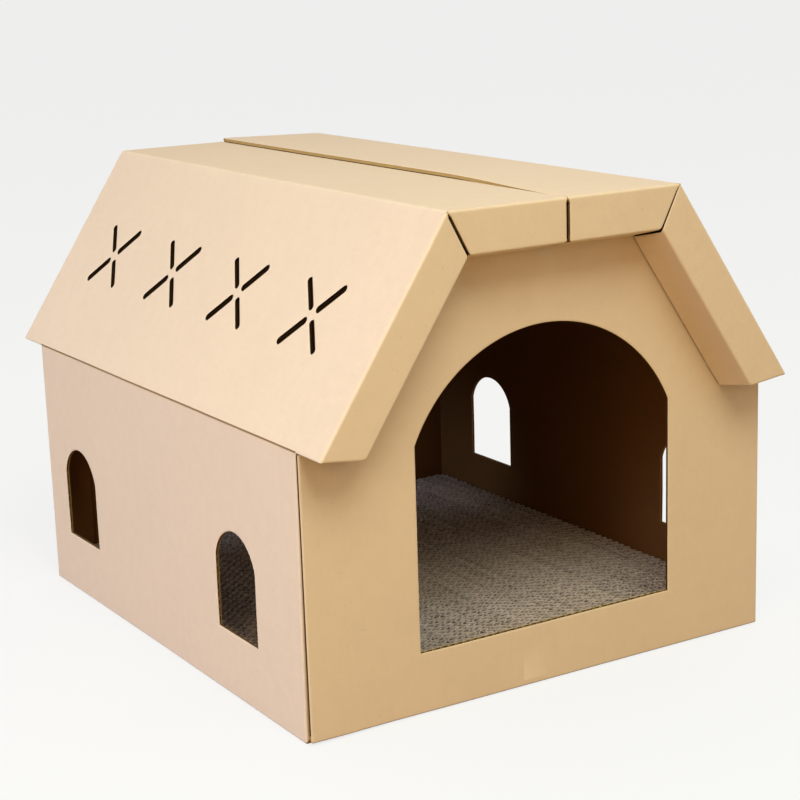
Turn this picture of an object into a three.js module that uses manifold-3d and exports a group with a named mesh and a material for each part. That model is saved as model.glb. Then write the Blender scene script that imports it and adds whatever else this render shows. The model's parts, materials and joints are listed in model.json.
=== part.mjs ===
// Cardboard cat house: two folded side sheets that carry the roof, a front wall with an arched doorway,
// a back wall and a loose scratch pad. Millimetres, +Z up, front towards -Y, origin under the middle.
import * as THREE from "three";
import { mergeVertices } from "three/addons/utils/BufferGeometryUtils.js";
import Module from "manifold-3d";

const wasm = await Module();
wasm.setup();

// Board
const board = 3;               // thickness of the corrugated board
const creaseGap = 0.3;         // air between two panels at the crease that joins them
const fitGap = 0.3;            // air between panels that lie on each other
const cutterOverrun = 5;       // how far a cutter reaches past the faces that it cuts

// Walls
const bodyWidth = 400;
const bodyDepth = 450;         // outer face of the front wall to outer face of the back wall
const eaveHeight = 205;
const glueFlapWidth = 35;
const glueFlapTaper = 10;      // how much a glue flap draws in at each end of its free edge
const bottomFlapTaper = 6;     // the same for a bottom flap
const bottomSeam = 2;          // air between two bottom flaps that meet at the middle of the floor
const backWallInset = 5;       // how far the back wall stops short of the corners at its sides

// Roof
const roofHeight = 357;
const topWidth = 196;          // between the two upper creases
const seamGap = 2;             // air between the two halves of the top
const swingGap = 0.3;          // air past the other half while one half of the top swings up
const frontOverhang = 30;
const backOverhang = 35;
const lipDepth = 31;           // from the roof's outer face down to the fold of the lip
const lipMitreGap = 2;         // slot between the end flaps of a slope and of its half of the top
const lipSeamInset = 0.5;      // how far an end flap of the top stops short of the seam's edge
const lipFootRise = 16;        // how far up the slope the lip's inner corner lies from the eave
const returnSpring = 14;       // degrees by which a return flap springs open from square
const returnWallGap = 0.6;     // air between a return flap and the wall behind it

// Doorway
const doorMiddle = 1;          // to the right of the wall's middle
const doorWidth = 221;
const doorSill = 46;
const doorSide = 148.5;        // straight part of each side
const doorArchRise = 71.5;

// Windows of a side wall; margins are counted from the wall's creases
const windowCount = 2;
const windowFirstMargin = 36;
const windowLastMargin = 66.4;
const windowWidth = 61;
const windowSill = 48;
const windowSide = 55;
const windowArchRise = 23;
const rightWindowFirstMargin = 51.5;
const rightWindowLastMargin = 56.4;
const rightWindowsUp = 6.5;    // how much higher the right sheet's windows are cut

// Air slots of a slope, in crosses of four; margins are counted to the centre of a cross
const crossCount = 4;
const crossFirstMargin = 48;
const crossLastMargin = 62.4;
const slotsInCross = 4;
const slotLength = 31;
const slotWidth = 5.2;
const slotInnerRadius = 5;     // from the centre of a cross to the near end of its slots
const slotTurn = 45;           // degrees from the eave to the first slot

// Scratch pad of board strips on edge
const padThickness = 17.4;
const padPlay = 0.9;           // air round the pad
const padStripPitch = 5.4;
const padNickWidth = 0.5;      // V-shaped nick between two strips
const padNickDepth = 0.8;

// Fineness of round outlines, in steps for each curve
const doorSteps = 32;
const windowSteps = 14;
const slotSteps = 5;

const kraftBoard = new THREE.MeshStandardMaterial({ color: 0xddba90, roughness: 0.88, metalness: 0 });
const padBoard = new THREE.MeshStandardMaterial({ color: 0xa58c6d, roughness: 0.95, metalness: 0 });

// Values worked out from the sizes above
const square = Math.PI / 2;
const halfWidth = bodyWidth / 2;
const halfTop = topWidth / 2;
const roofRise = roofHeight - eaveHeight;
const slopeLength = Math.hypot(halfWidth - halfTop, roofRise);
const ridgeBend = Math.atan2(roofRise, halfWidth - halfTop);   // between a slope and its half of the top
const eaveBend = square - ridgeBend;                           // between a side wall and its slope
const springAngle = THREE.MathUtils.degToRad(returnSpring);
const returnBend = square - springAngle;
const layer = board + fitGap;                                  // one board and the air under it
const sideLength = bodyDepth - 2 * layer;                      // a side wall from crease to crease
const topPanelWidth = halfTop - seamGap / 2;
const bottomFlapLength = Math.min(halfWidth, bodyDepth / 2) - bottomSeam / 2;
const footprintMiddle = (bodyDepth + backOverhang - frontOverhang) / 2;

const point = (x, y) => new THREE.Vector2(x, y);

// How far the inner arris of an edge lies in from its outer one: nothing at a cut edge, a mitre at a crease.
const mitre = (bend) => board * Math.tan(bend / 2);

// Opening with straight sides and a circular arch over them.
function archedOutline(middle, width, bottom, side, rise) {
  const half = width / 2;
  const radius = (half * half + rise * rise) / (2 * rise);
  const reach = Math.asin(half / radius);
  const outline = new THREE.Shape();
  outline.moveTo(middle - half, bottom);
  outline.lineTo(middle + half, bottom);
  outline.absarc(middle, bottom + side + rise - radius, radius, square - reach, square + reach, false);
  outline.closePath();
  return outline;
}

// Slot with round ends that leads away from the centre of its cross.
function slotOutline(centre, angle) {
  const along = point(Math.cos(angle), Math.sin(angle));
  const radius = slotWidth / 2;
  const near = centre.clone().addScaledVector(along, slotInnerRadius + radius);
  const far = centre.clone().addScaledVector(along, slotInnerRadius + slotLength - radius);
  const outline = new THREE.Shape();
  outline.absarc(far.x, far.y, radius, angle - square, angle + square, false);
  outline.absarc(near.x, near.y, radius, angle + square, angle + 3 * square, false);
  outline.closePath();
  return outline;
}

// Corners of an outline after each of its edges has moved inward by its own distance.
function insetCorners(corners, insets) {
  const lines = corners.map((corner, i) => {
    const along = corners[(i + 1) % corners.length].clone().sub(corner).normalize();
    const start = corner.clone().addScaledVector(point(-along.y, along.x), insets[i]);
    return { start, along };
  });
  return lines.map((line, i) => {
    const before = lines[(i + lines.length - 1) % lines.length];
    const reach = line.start.clone().sub(before.start).cross(line.along) / before.along.cross(line.along);
    return before.start.clone().addScaledVector(before.along, reach);
  });
}

// Closed body between an outline on the panel's outer face and one of as many corners on its inner face.
function bodyBetween(outer, inner) {
  const count = outer.length;
  const places = [];
  outer.forEach((corner) => places.push(corner.x, corner.y, 0));
  inner.forEach((corner) => places.push(corner.x, corner.y, -board));
  const triangles = [];
  for (const [a, b, c] of THREE.ShapeUtils.triangulateShape(outer, [])) {
    triangles.push(a, b, c);
    triangles.push(count + a, count + c, count + b);
  }
  for (let i = 0; i < count; i += 1) {
    const next = (i + 1) % count;
    triangles.push(i, count + i, count + next);
    triangles.push(i, count + next, next);
  }
  const geometry = new THREE.BufferGeometry();
  geometry.setAttribute("position", new THREE.Float32BufferAttribute(places, 3));
  geometry.setIndex(triangles);
  return geometry;
}

// Flat panel in its own frame: outer face at z = 0, corners anticlockwise, and for each edge the angle of
// its crease, or null where the edge is cut.
function panel(corners, bends) {
  const outerInsets = bends.map((bend) => (bend === null ? 0 : creaseGap / 2));
  const innerInsets = bends.map((bend) => (bend === null ? 0 : creaseGap / 2 + mitre(bend)));
  return bodyBetween(insetCorners(corners, outerInsets), insetCorners(corners, innerInsets));
}

function solidFrom(geometry) {
  const bare = geometry.clone();
  bare.deleteAttribute("normal");
  bare.deleteAttribute("uv");
  const merged = mergeVertices(bare);
  const vertProperties = new Float32Array(merged.attributes.position.array);
  const triVerts = new Uint32Array(merged.index.array);
  return new wasm.Manifold(new wasm.Mesh({ numProp: 3, vertProperties, triVerts }));
}

// The panel less its openings, which are outlines in the panel's own plane.
function cutOut(geometry, outlines, curveSegments) {
  let solid = solidFrom(geometry);
  for (const outline of outlines) {
    const depth = board + 2 * cutterOverrun;
    const cutter = new THREE.ExtrudeGeometry(outline, { depth, bevelEnabled: false, curveSegments });
    cutter.translate(0, 0, -board - cutterOverrun);
    solid = solid.subtract(solidFrom(cutter));
  }
  const mesh = solid.getMesh();
  const result = new THREE.BufferGeometry();
  result.setAttribute("position", new THREE.Float32BufferAttribute(mesh.vertProperties, mesh.numProp));
  result.setIndex(new THREE.Uint32BufferAttribute(mesh.triVerts, 1));
  return result;
}

function addPiece(frame, name, geometry, material) {
  const mesh = new THREE.Mesh(geometry, material);
  mesh.name = name;
  frame.add(mesh);
}

// Corners of a panel that runs from left to right and from its first crease up.
function rectangle(left, right, height) {
  return [point(left, 0), point(right, 0), point(right, height), point(left, height)];
}

// Corners of a flap whose ends draw in towards its free edge.
function taperedFlap(left, right, width, taper) {
  return [point(left, 0), point(right, 0), point(right - taper, width), point(left + taper, width)];
}

// Frame of a flap that is creased to a panel along the edge from a to b and folded inward. The flap's own x
// runs from b to a, and its y leads away from the crease.
function foldedFrame(parent, a, b, bend) {
  const along = a.clone().sub(b);
  const place = new THREE.Matrix4().makeTranslation(b.x, b.y, 0);
  place.multiply(new THREE.Matrix4().makeRotationZ(along.angle()));
  place.multiply(new THREE.Matrix4().makeRotationX(-bend));
  const frame = new THREE.Group();
  frame.applyMatrix4(place);
  parent.add(frame);
  return frame;
}

// The ways in which a lip ends. Each gives, for a depth below the roof's face, how far the lip stops short
// of its panel's corner, and the depths at which its outline turns.
const swingRadius = halfTop + seamGap / 2 - swingGap;
const seamTurnDepth = Math.sqrt(swingRadius ** 2 - (topPanelWidth - lipSeamInset) ** 2);
const mitredEnd = {
  inset: (depth) => lipMitreGap / 2 / Math.cos(ridgeBend / 2) + depth * Math.tan(ridgeBend / 2),
  depths: [0, lipDepth],
};
const footEnd = {
  inset: (depth) => Math.min(depth, lipDepth) * lipFootRise / lipDepth,
  depths: [0, lipDepth],
};
const seamEnd = {
  inset: (depth) => Math.max(lipSeamInset, topPanelWidth - Math.sqrt(swingRadius ** 2 - depth ** 2)),
  depths: [0, Math.min(seamTurnDepth, lipDepth / 2), lipDepth],
};

// The lip along the edge from a to b of a roof panel: an end flap that hangs from the panel, and a return
// flap that leads back from the end flap's fold to the wall. It ends one way at b and another way at a.
function addLip(panelFrame, name, a, b, endAtB, endAtA, overhang) {
  const length = a.distanceTo(b);
  const frame = foldedFrame(panelFrame, a, b, square);
  const lefts = endAtB.depths.map((depth) => point(endAtB.inset(depth), depth));
  const rights = endAtA.depths.map((depth) => point(length - endAtA.inset(depth), depth));
  const corners = [lefts[0], ...rights, ...lefts.slice(1).reverse()];
  const bends = corners.map((corner, i) => {
    const next = corners[(i + 1) % corners.length];
    if (corner.y !== next.y) return null;
    return corner.y === 0 ? square : returnBend;
  });
  addPiece(frame, `${name}_end_flap`, panel(corners, bends), kraftBoard);

  const foldLeft = lefts.at(-1);
  const foldRight = rights.at(-1);
  const returnFrame = foldedFrame(frame, foldRight, foldLeft, returnBend);
  const reach = (overhang - returnWallGap - board * Math.sin(springAngle)) / Math.cos(springAngle);
  const wallDepth = lipDepth + reach * Math.sin(springAngle);
  const foldLength = foldLeft.distanceTo(foldRight);
  const leftDraw = endAtB.inset(wallDepth) - endAtB.inset(lipDepth);
  const rightDraw = endAtA.inset(wallDepth) - endAtA.inset(lipDepth);
  const returnCorners = [
    point(0, 0),
    point(foldLength, 0),
    point(foldLength - rightDraw, reach),
    point(leftDraw, reach),
  ];
  addPiece(returnFrame, `${name}_return_flap`, panel(returnCorners, [returnBend, null, null, null]), kraftBoard);
}

// Lips at both ends of a roof panel, whose corners are numbered anticlockwise from its lower first corner.
function addLips(frame, name, corners, lowerEnd, upperEnd, first, second) {
  addLip(frame, `${name}_${second.name}`, corners[1], corners[2], upperEnd, lowerEnd, second.overhang);
  addLip(frame, `${name}_${first.name}`, corners[3], corners[0], lowerEnd, upperEnd, first.overhang);
}

function windowOutlines(firstMargin, lastMargin, up) {
  const run = sideLength - firstMargin - lastMargin - windowWidth;
  const outlines = [];
  for (let i = 0; i < windowCount; i += 1) {
    const middle = firstMargin + windowWidth / 2 + i * run / (windowCount - 1);
    outlines.push(archedOutline(middle, windowWidth, up + windowSill, windowSide, windowArchRise));
  }
  return outlines;
}

function slotOutlines() {
  const pitch = (sideLength - crossFirstMargin - crossLastMargin) / (crossCount - 1);
  const outlines = [];
  for (let i = 0; i < crossCount; i += 1) {
    const centre = point(crossFirstMargin + i * pitch, slopeLength / 2);
    for (let j = 0; j < slotsInCross; j += 1) {
      const angle = THREE.MathUtils.degToRad(slotTurn) + j * 2 * Math.PI / slotsInCross;
      outlines.push(slotOutline(centre, angle));
    }
  }
  return outlines;
}

// Side sheet, drawn on its wall: x runs along the wall from its first crease, y up the wall.
function sideSheet(side, first, second, windows) {
  const sheet = new THREE.Group();
  const wall = rectangle(0, sideLength, eaveHeight);
  const wallPanel = panel(wall, [square, square, eaveBend, square]);
  addPiece(sheet, `${side}_wall`, cutOut(wallPanel, windows, windowSteps), kraftBoard);

  const bottomFrame = foldedFrame(sheet, wall[0], wall[1], square);
  const bottom = taperedFlap(0, sideLength, halfWidth - bottomSeam / 2, bottomFlapTaper);
  addPiece(bottomFrame, `${side}_bottom_flap`, panel(bottom, [square, null, null, null]), kraftBoard);

  // Glue flaps lie behind the end walls, above the bottom flaps and below the slope.
  const glueHeight = eaveHeight - 4 * layer;
  const glue = taperedFlap(0, glueHeight, glueFlapWidth, glueFlapTaper);
  const gluePanel = panel(glue, [square, null, null, null]);
  const low = 2 * layer;
  const high = low + glueHeight;
  const secondFrame = foldedFrame(sheet, point(sideLength, low), point(sideLength, high), square);
  addPiece(secondFrame, `${side}_wall_${second.name}_glue_flap`, gluePanel, kraftBoard);
  const firstFrame = foldedFrame(sheet, point(0, high), point(0, low), square);
  addPiece(firstFrame, `${side}_wall_${first.name}_glue_flap`, gluePanel, kraftBoard);

  // The slope is creased to the wall and overhangs it at both ends.
  const slope = rectangle(-first.overhang - layer, sideLength + second.overhang + layer, slopeLength);
  const slopeFrame = foldedFrame(sheet, wall[2], wall[3], eaveBend);
  const slopePanel = panel(slope, [eaveBend, square, ridgeBend, square]);
  addPiece(slopeFrame, `${side}_slope`, cutOut(slopePanel, slotOutlines(), slotSteps), kraftBoard);
  addLips(slopeFrame, `${side}_slope`, slope, footEnd, mitredEnd, first, second);

  const topFrame = foldedFrame(slopeFrame, slope[2], slope[3], ridgeBend);
  const top = rectangle(0, slope[2].x - slope[3].x, topPanelWidth);
  addPiece(topFrame, `${side}_top`, panel(top, [ridgeBend, square, null, square]), kraftBoard);
  addLips(topFrame, `${side}_top`, top, mitredEnd, seamEnd, first, second);
  return sheet;
}

// End wall and its bottom flap. The wall fills the space under the roof with a small gap, and may stop short
// of the corners at its sides.
function endWall(end, sideInset, openings) {
  const group = new THREE.Group();
  const topHeight = roofHeight - layer;
  const topHalf = halfTop - layer * Math.tan(ridgeBend / 2);
  const kneeHeight = eaveHeight - mitre(eaveBend) - fitGap;
  const kneeHalf = topHalf + (topHeight - kneeHeight) / Math.tan(ridgeBend);
  const sideHalf = halfWidth - sideInset;
  const shoulder = [point(sideHalf, kneeHeight), point(kneeHalf, kneeHeight)];
  if (sideHalf < kneeHalf) {
    shoulder.splice(0, 2, point(sideHalf, kneeHeight + (kneeHalf - sideHalf) * Math.tan(ridgeBend)));
  }
  const rightSide = [point(sideHalf, layer), ...shoulder, point(topHalf, topHeight)];
  const leftSide = rightSide.map((corner) => point(-corner.x, corner.y)).reverse();
  const corners = [...rightSide, ...leftSide];
  const bends = corners.map((corner, i) => (i === corners.length - 1 ? square : null));
  addPiece(group, `${end}_wall`, cutOut(panel(corners, bends), openings, doorSteps), kraftBoard);

  // The bottom flap lies on the side sheets' bottom flaps and between the side walls.
  const frame = foldedFrame(group, corners.at(-1), corners[0], square);
  const margin = Math.max(layer - sideInset, 0);
  const bottom = taperedFlap(margin, 2 * sideHalf - margin, bottomFlapLength, bottomFlapTaper);
  addPiece(frame, `${end}_bottom_flap`, panel(bottom, [square, null, null, null]), kraftBoard);
  return group;
}

// Block of board strips on edge, which run from front to back: its outline across them, drawn out along them.
function scratchPad() {
  const depth = bodyDepth - 2 * (layer + board + padPlay);
  const width = bodyWidth - 2 * (board + padPlay);
  const strips = Math.floor(width / padStripPitch);
  const outline = new THREE.Shape();
  outline.moveTo(-width / 2, 0);
  outline.lineTo(width / 2, 0);
  outline.lineTo(width / 2, padThickness);
  for (let i = strips - 1; i > 0; i -= 1) {
    const nick = -width / 2 + width * i / strips;
    outline.lineTo(nick + padNickWidth / 2, padThickness);
    outline.lineTo(nick, padThickness - padNickDepth);
    outline.lineTo(nick - padNickWidth / 2, padThickness);
  }
  outline.lineTo(-width / 2, padThickness);
  outline.closePath();
  const geometry = new THREE.ExtrudeGeometry(outline, { depth, bevelEnabled: false });
  geometry.translate(0, 0, -depth / 2);
  return geometry;
}

// Turns a group whose z leads out of its face, with y up, to face a direction and stand at a place.
function standUp(group, facing, x, y, z) {
  const up = new THREE.Vector3(0, 0, 1);
  const across = new THREE.Vector3().crossVectors(up, facing);
  group.applyMatrix4(new THREE.Matrix4().makeBasis(across, up, facing).setPosition(x, y, z));
  return group;
}

const front = { name: "front", overhang: frontOverhang };
const back = { name: "back", overhang: backOverhang };
const toLeft = new THREE.Vector3(-1, 0, 0);
const toRight = new THREE.Vector3(1, 0, 0);
const toFront = new THREE.Vector3(0, -1, 0);
const toBack = new THREE.Vector3(0, 1, 0);

const doorway = archedOutline(doorMiddle, doorWidth, doorSill, doorSide, doorArchRise);

const house = new THREE.Group();
const leftWindows = windowOutlines(windowFirstMargin, windowLastMargin, 0);
const rightWindows = windowOutlines(rightWindowFirstMargin, rightWindowLastMargin, rightWindowsUp);
const leftSheet = sideSheet("left", back, front, leftWindows);
const rightSheet = sideSheet("right", front, back, rightWindows);
house.add(standUp(leftSheet, toLeft, -halfWidth, bodyDepth - layer, 0));
house.add(standUp(rightSheet, toRight, halfWidth, layer, 0));
house.add(standUp(endWall("front", 0, [doorway]), toFront, 0, 0, 0));
house.add(standUp(endWall("back", backWallInset, []), toBack, 0, bodyDepth, 0));

const pad = new THREE.Group();
addPiece(pad, "scratch_pad", scratchPad(), padBoard);
house.add(standUp(pad, toFront, 0, bodyDepth / 2, 2 * layer));

house.position.y = -footprintMiddle;

export default house;
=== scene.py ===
"""Cardboard cat house: board panels with real liners and flutes, rounded folds, and a pad of strips.

Metres, +Z up, front towards -Y. Every panel takes its place and outline from the solid that it replaces.
"""

import json
import math
import random

import bpy
import numpy as np
from mathutils import Matrix, Vector, noise
from mathutils.geometry import delaunay_2d_cdt

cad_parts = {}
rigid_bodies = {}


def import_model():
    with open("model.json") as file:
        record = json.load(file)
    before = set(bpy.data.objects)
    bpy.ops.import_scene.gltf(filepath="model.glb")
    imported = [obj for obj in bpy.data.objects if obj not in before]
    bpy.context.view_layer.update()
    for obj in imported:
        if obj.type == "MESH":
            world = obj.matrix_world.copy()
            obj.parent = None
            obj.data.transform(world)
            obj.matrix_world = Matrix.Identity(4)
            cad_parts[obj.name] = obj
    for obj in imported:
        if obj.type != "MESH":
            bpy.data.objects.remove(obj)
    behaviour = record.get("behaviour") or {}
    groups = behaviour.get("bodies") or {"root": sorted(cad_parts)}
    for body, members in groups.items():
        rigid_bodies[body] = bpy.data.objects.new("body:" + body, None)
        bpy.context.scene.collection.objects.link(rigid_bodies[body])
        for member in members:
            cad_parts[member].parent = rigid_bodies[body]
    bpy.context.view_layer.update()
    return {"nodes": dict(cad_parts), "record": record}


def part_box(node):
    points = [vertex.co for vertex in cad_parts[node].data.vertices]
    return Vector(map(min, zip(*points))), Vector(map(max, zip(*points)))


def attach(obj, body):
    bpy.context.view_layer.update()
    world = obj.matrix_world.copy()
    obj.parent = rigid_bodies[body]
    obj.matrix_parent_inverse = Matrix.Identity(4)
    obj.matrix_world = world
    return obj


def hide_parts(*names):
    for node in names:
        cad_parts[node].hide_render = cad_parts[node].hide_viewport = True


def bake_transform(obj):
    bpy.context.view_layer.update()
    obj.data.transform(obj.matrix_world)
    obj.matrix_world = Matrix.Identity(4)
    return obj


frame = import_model()

MM = 0.001
TINY = 1e-9
LEVEL_SLACK = 1e-7  # ends of an edge that differ by less are level
FLAT_SLACK = 0.1 * MM  # faces this near to a solid's outer face belong to it
PLACE_DIGITS = 7
STRAIGHT = 0.9999999  # least cosine of a turn that counts as none

# Board: two liners with a fluted sheet between them
LINER = 0.30 * MM
FLUTED_SHEET = 0.24 * MM
FLUTE_PITCH = 6.4 * MM
FLUTE_PHASES = (1 / 6, 1 / 3, 2 / 3, 5 / 6)  # of a flute, where its flat crests start and end
FLUTE_FILL_SHARE = 0.96  # of the height between the liners
FLUTE_SHORT = 0.5 * MM  # how far the fluted sheet stops short of a cut edge
FLUTE_SHORT_AT_FOLD = FLUTE_SHORT / 4
GRID = 22 * MM  # spacing of a liner's inner vertices
GRID_CLEARANCE = GRID / 4
FLUTE_ROWS = 24 * MM  # spacing of the fluted sheet's vertices along a flute
FLUTE_CLEARANCE = FLUTE_PITCH / 30
CROSSING_GAP = 0.02 * MM  # crossings closer together count as one
EDGE_RINGS = (0.0, 0.45 * MM, 1.3 * MM, 1.8 * MM)  # from a cut edge, where its liners turn in
EDGE_PINCH = (0.32 * MM, 0.10 * MM, 0.0, 0.0)  # how far, across the flutes' ends
CRUSHED_PINCH = (0.55 * MM, 0.25 * MM, 0.0, 0.0)  # how far, along the flutes
CRUSH_POWER = 6  # how closely an edge follows them to be crushed

# Folds
FOLD_REACH = 4.0 * MM  # from a crease to where the flat panel takes over
SHARP_RADIUS = 2.0 * MM
SOFT_RADIUS = 3.6 * MM  # between a slope and its half of the top
FOOT_RADIUS = 1.1 * MM  # where the house stands on the fold
INNER_RADIUS = 0.6 * MM
SCORE_HALF_WIDTH = 1.1 * MM  # pressed line along the eaves
SCORE_DEPTH = 1.5 * MM
SCORE_POWER = 1.5
FOLD_STEPS = 8
FOLD_ROWS = 22 * MM
OPEN_END = 7.0 * MM  # a fold that comes this close to a corner runs out through it
RIM_WEAR = 0.45  # wear of a rounded fold
SCORE_SHADE = -1.0  # painted shade in a pressed line, given as wear; below nothing it is darker
FOOT_SHADE = -1.0  # painted shadow along a fold that the house stands on, given as wear below nothing
FOOT_SHADE_SHARES = (0.0, 0.5)  # of the bend, where that starts and where it is complete

# Pad
PAD_STRIP = 5.4 * MM
PAD_FLUTE = 8.0 * MM
PAD_PHASES = ((0.10, 1), (0.38, 1), (0.60, -1), (0.88, -1))  # places in a flute, and its side there
PAD_FILL_SHARE = 0.93  # of the room between two liners
PAD_SHIFT_SHARE = 0.56  # of a flute, from each strip to the next
PAD_SHIFT_SPREAD = 0.24  # most that a strip strays from that, in flutes
PAD_FLUTE_SPREAD = 0.09  # most that a flute strays from its place, in flutes
PAD_PAPER = 0.32 * MM
PAD_LINER = 1.4 * PAD_PAPER
PAD_FLUTED_SHEET = 1.7 * PAD_PAPER
PAD_LAST_LINER = 2 * PAD_PAPER
PAD_LINER_DROP = 0.75 * MM  # liners are worn down below the flutes
PAD_TORN = 0.7 * MM  # most that the flutes are torn down
PAD_TRIM = 0.3 * MM
PAD_FLUTE_GAP = 0.2 * MM
PAD_SWAY = (0.15 * MM, 27 * MM, 1.7)  # sideways: how far, a radian's length, turn per strip
PAD_ROLL = (0.12 * MM, 19 * MM, 2.3)  # the same up and down
PAD_STOPS = 24
PAD_BUNDLES = 3
LINER_TAG, FLUTE_TAG = 0.25, 0.75  # added to a strip's number, to tell its papers apart

# Gaps that the photograph shows wider or narrower than the model has them
SEAM_CUT = 20 * MM  # a panel's corners this near to the middle belong to its end at the seam
TOP_SEAM = 0.5 * MM
RETURN_GAPS = (1.5 * MM, 0.3 * MM)  # cut off the slopes' returns, beside the lip and at the far side
MITRE_CUTS = {"left": (0.4 * MM, 0.4 * MM), "right": (-1.4 * MM, -0.6 * MM)}  # off those lips' ends
SLANT_SLOT_RIM = 0.5 * MM  # cut off each side of the slots that rise towards the front
WINDOW_FORWARD = 1.2 * MM  # right wall's front window lies further forward
RIDGE_CORNER = 20 * MM  # an end wall's corners this near to an upper crease lie under it
RIDGE_CHAMFER = 6.0 * MM  # off those corners, for the folds above them to bend inwards

# How the real house sits: not quite flat, and not quite closed
WALL_LEAN = 1.3 * MM
WALL_LEAN_SHARE = 0.7  # of the wall's length that leans
WALL_BAND = (40 * MM, 5 * MM)  # behind a side wall's face, where lean and bulge set in
FRONT_SPRING = (0.3 * MM, 2.2 * MM)  # front wall's left edge stands off, at the eave and at the foot
FRONT_BAND = 70 * MM
FOOT_SINK = 3.2 * MM  # end walls sag to the floor, past the side walls' bottom flaps
FOOT_SINK_HEIGHT = 108 * MM
FOOT_BAND = (0.3 * MM, FOLD_REACH)  # behind an end wall's face, where the sag ends
CORNER_HOLD = 0.45  # share of the sag that the left corners hold back
CORNER_POWER = 4
RIGHT_BULGE = 1.5 * MM
TOP_LIFT = 3.2 * MM  # right half of the top lies over the left half's level
TOP_LIFT_RUN = (-25 * MM, 120 * MM)  # behind the front face, where that sets in
WAVINESS = 0.22 * MM
WAVINESS_LENGTH = 120 * MM

SEED = 11
random.seed(SEED)
noise.seed_set(SEED)


def srgb(red, green, blue):
    """Linear colour from the 0 to 255 values that a picture shows."""
    def linear(value):
        share = value / 255
        return share / 12.92 if share <= 0.04045 else ((share + 0.055) / 1.055) ** 2.4
    return (linear(red), linear(green), linear(blue), 1.0)


def smooth(low, high, value):
    """0 up to low, 1 from high on, and a soft step between."""
    t = np.clip((np.asarray(value, float) - low) / (high - low), 0, 1)
    return t * t * (3 - 2 * t)


# Panels

def edges_of(loop):
    """Each corner of a loop with the next one."""
    return zip(loop, loop[1:] + loop[:1])


def broad_normal(node):
    """Normal of a board solid's largest face."""
    return max(frame["nodes"][node].data.polygons, key=lambda face: face.area).normal


def broad_face(node):
    """Normal, distance from the origin, thickness and corner loops of a board solid's outer face."""
    mesh = frame["nodes"][node].data
    groups = []
    for normal in (broad_normal(node).copy(), -broad_normal(node)):
        heights = [normal.dot(vertex.co) for vertex in mesh.vertices]
        reach = max(heights)
        level = reach - FLAT_SLACK
        faces = [face for face in mesh.polygons if min(heights[i] for i in face.vertices) > level]
        groups.append((sum(face.area for face in faces), normal, reach, faces))
    thickness = groups[0][2] + groups[1][2]
    normal, reach, faces = max(groups, key=lambda group: group[0])[1:]
    corners = [tuple(round(value, PLACE_DIGITS) for value in vertex.co) for vertex in mesh.vertices]
    directed = set()
    for face in faces:
        directed.update(edges_of([corners[i] for i in face.vertices]))
    following = {start: end for start, end in directed if (end, start) not in directed}
    loops = []
    while following:
        start, place = following.popitem()
        loop = [start]
        while place != start:
            loop.append(place)
            place = following.pop(place)
        loops.append([Vector(corner) for corner in loop])
    return normal, reach, thickness, loops


def straightened(loop):
    steps = [(b - a).normalized() for a, b in edges_of(loop)]
    return [corner for i, corner in enumerate(loop) if steps[i - 1].dot(steps[i]) < STRAIGHT]


def signed_area(loop):
    return sum(a.x * b.y - b.x * a.y for a, b in edges_of(loop)) / 2


def left_of(along):
    return Vector((-along.y, along.x))


def inset(loop, distances):
    """Corners of a loop after each of its edges has moved to its left by its own distance."""
    lines = []
    for i, (corner, following) in enumerate(edges_of(loop)):
        along = (following - corner).normalized()
        lines.append((corner + left_of(along) * distances[i], along))
    corners = []
    for i, (start, along) in enumerate(lines):
        before, before_along = lines[i - 1]
        turn = before_along.x * along.y - before_along.y * along.x
        gap = start - before
        corners.append(before + before_along * ((gap.x * along.y - gap.y * along.x) / turn))
    return corners


def gap_to_edge(points, a, b):
    """Distance of each point from the stretch between two corners."""
    start = np.array(a)
    step = np.array(b) - start
    share = np.clip((points - start) @ step / max(step @ step, TINY ** 2), 0, 1)
    return np.linalg.norm(points - start - share[:, None] * step, axis=1)


def pinch_at(gap, a, b):
    """How far the liners are turned in at a gap from the cut edge between two corners."""
    step = np.array(b) - np.array(a)
    crushed = abs(step[1] / math.hypot(step[0], step[1])) ** CRUSH_POWER
    rims = [(1 - crushed) * light + crushed * hard for light, hard in zip(EDGE_PINCH, CRUSHED_PINCH)]
    return np.interp(gap, EDGE_RINGS, rims)


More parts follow.
